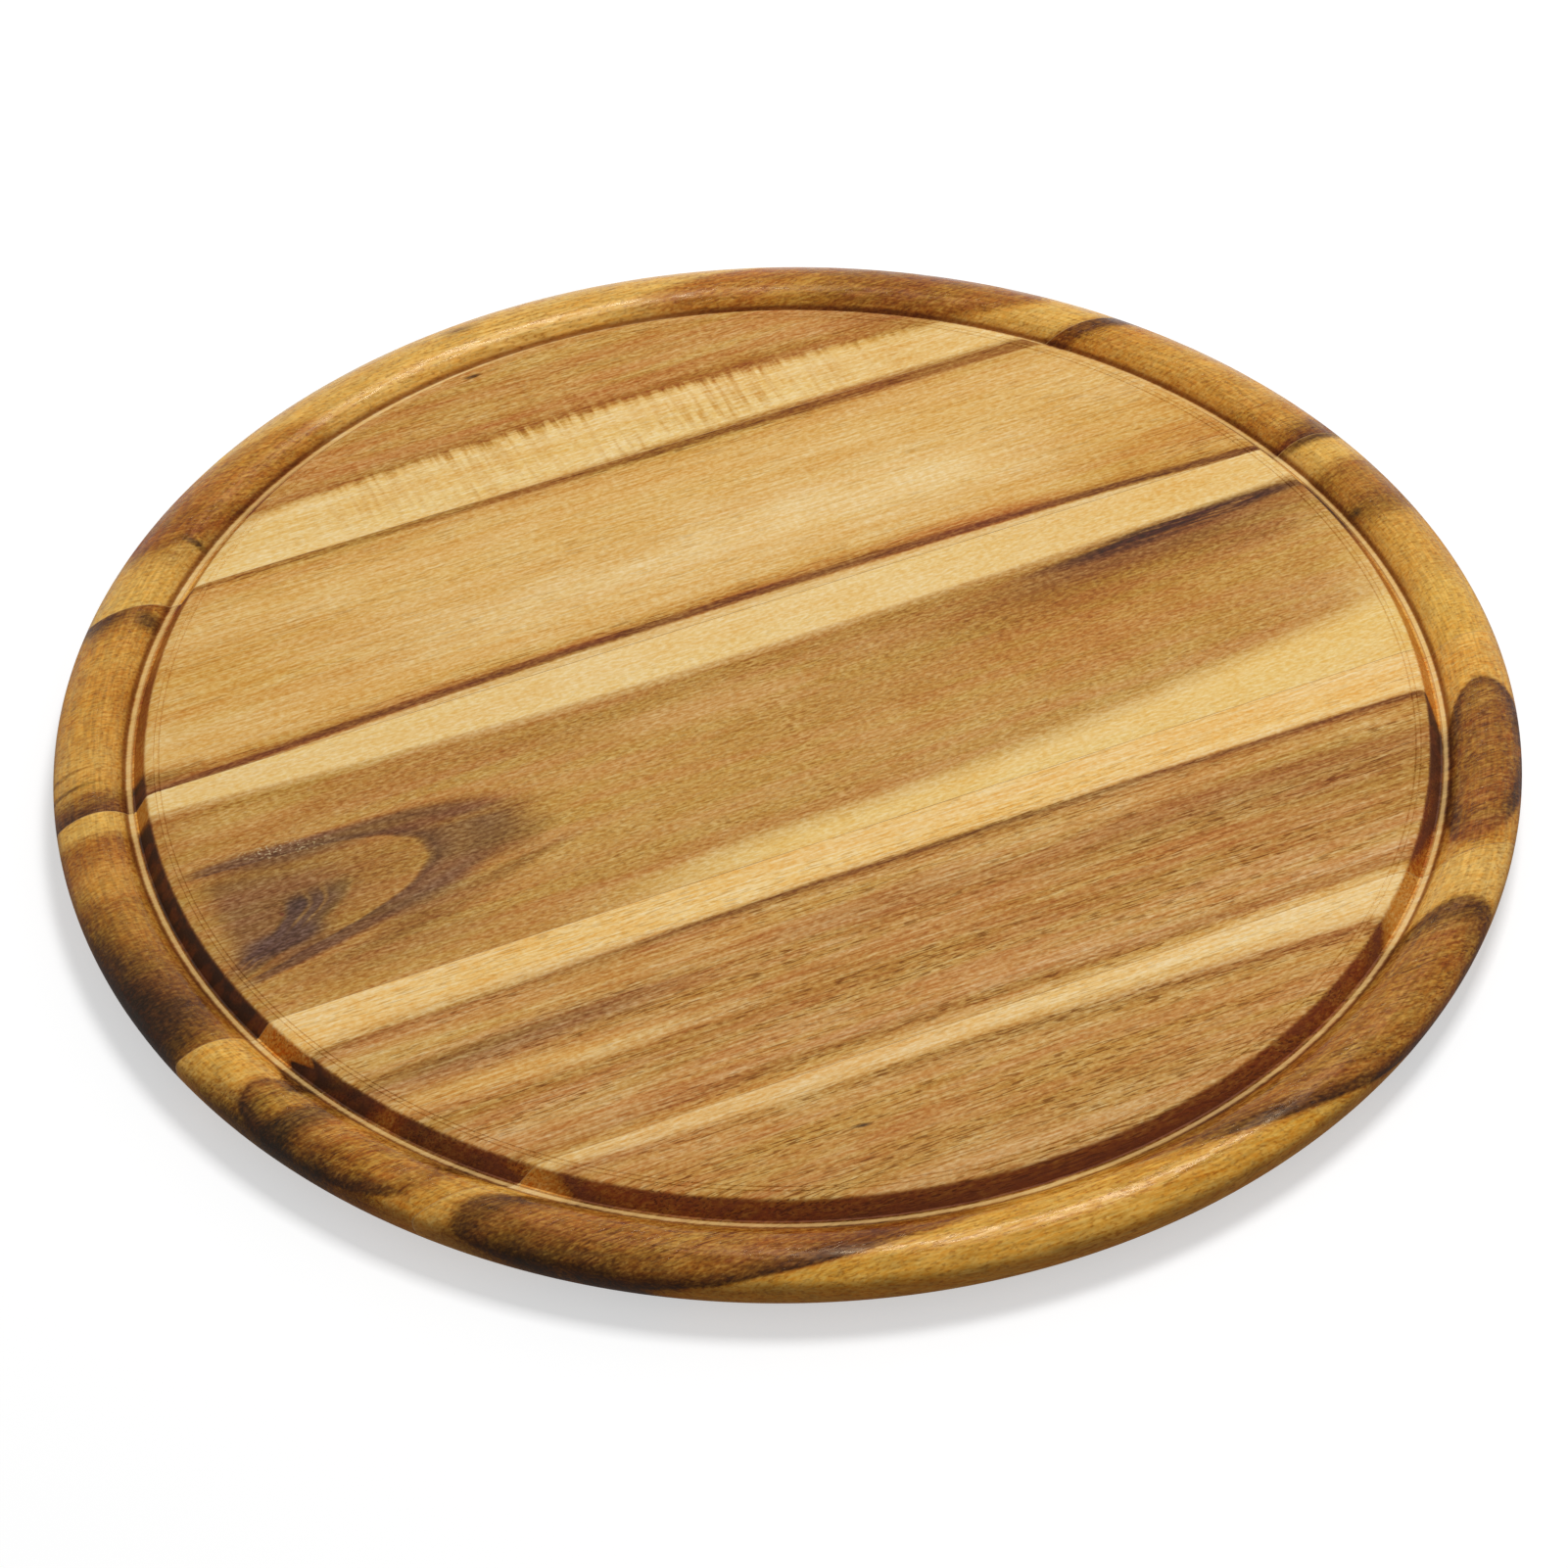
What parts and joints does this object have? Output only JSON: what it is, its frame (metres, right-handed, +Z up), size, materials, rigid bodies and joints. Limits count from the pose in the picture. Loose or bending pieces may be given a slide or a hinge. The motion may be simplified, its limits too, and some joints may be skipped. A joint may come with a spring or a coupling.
{
  "type": "pizza serving board",
  "caption": "Round solid-wood pizza serving board glued up from staves, with a flat face, a turned juice groove near the edge and a rounded rim swept up from the underside.",
  "frame": {"origin": "centre of the flat underside", "axes": "+Z up through the serving face, +X along the staves and their grain, +Y across the staves towards the back of the pictured view"},
  "size_m": [0.32, 0.32, 0.015],
  "materials": {
    "back_edge_wood": "oiled, satin",
    "back_inner_wood": "oiled, satin",
    "middle_wood": "oiled, satin",
    "front_inner_wood": "oiled, satin",
    "front_edge_wood": "oiled, satin",
    "glue": "cured wood glue, satin"
  },
  "bodies": {
    "root": {"back_edge_stave": "back_edge_wood", "back_inner_stave": "back_inner_wood", "middle_stave": "middle_wood", "front_inner_stave": "front_inner_wood", "front_edge_stave": "front_edge_wood", "back_glue_line": "glue", "back_middle_glue_line": "glue", "front_middle_glue_line": "glue", "front_glue_line": "glue"}
  },
  "joints": []
}
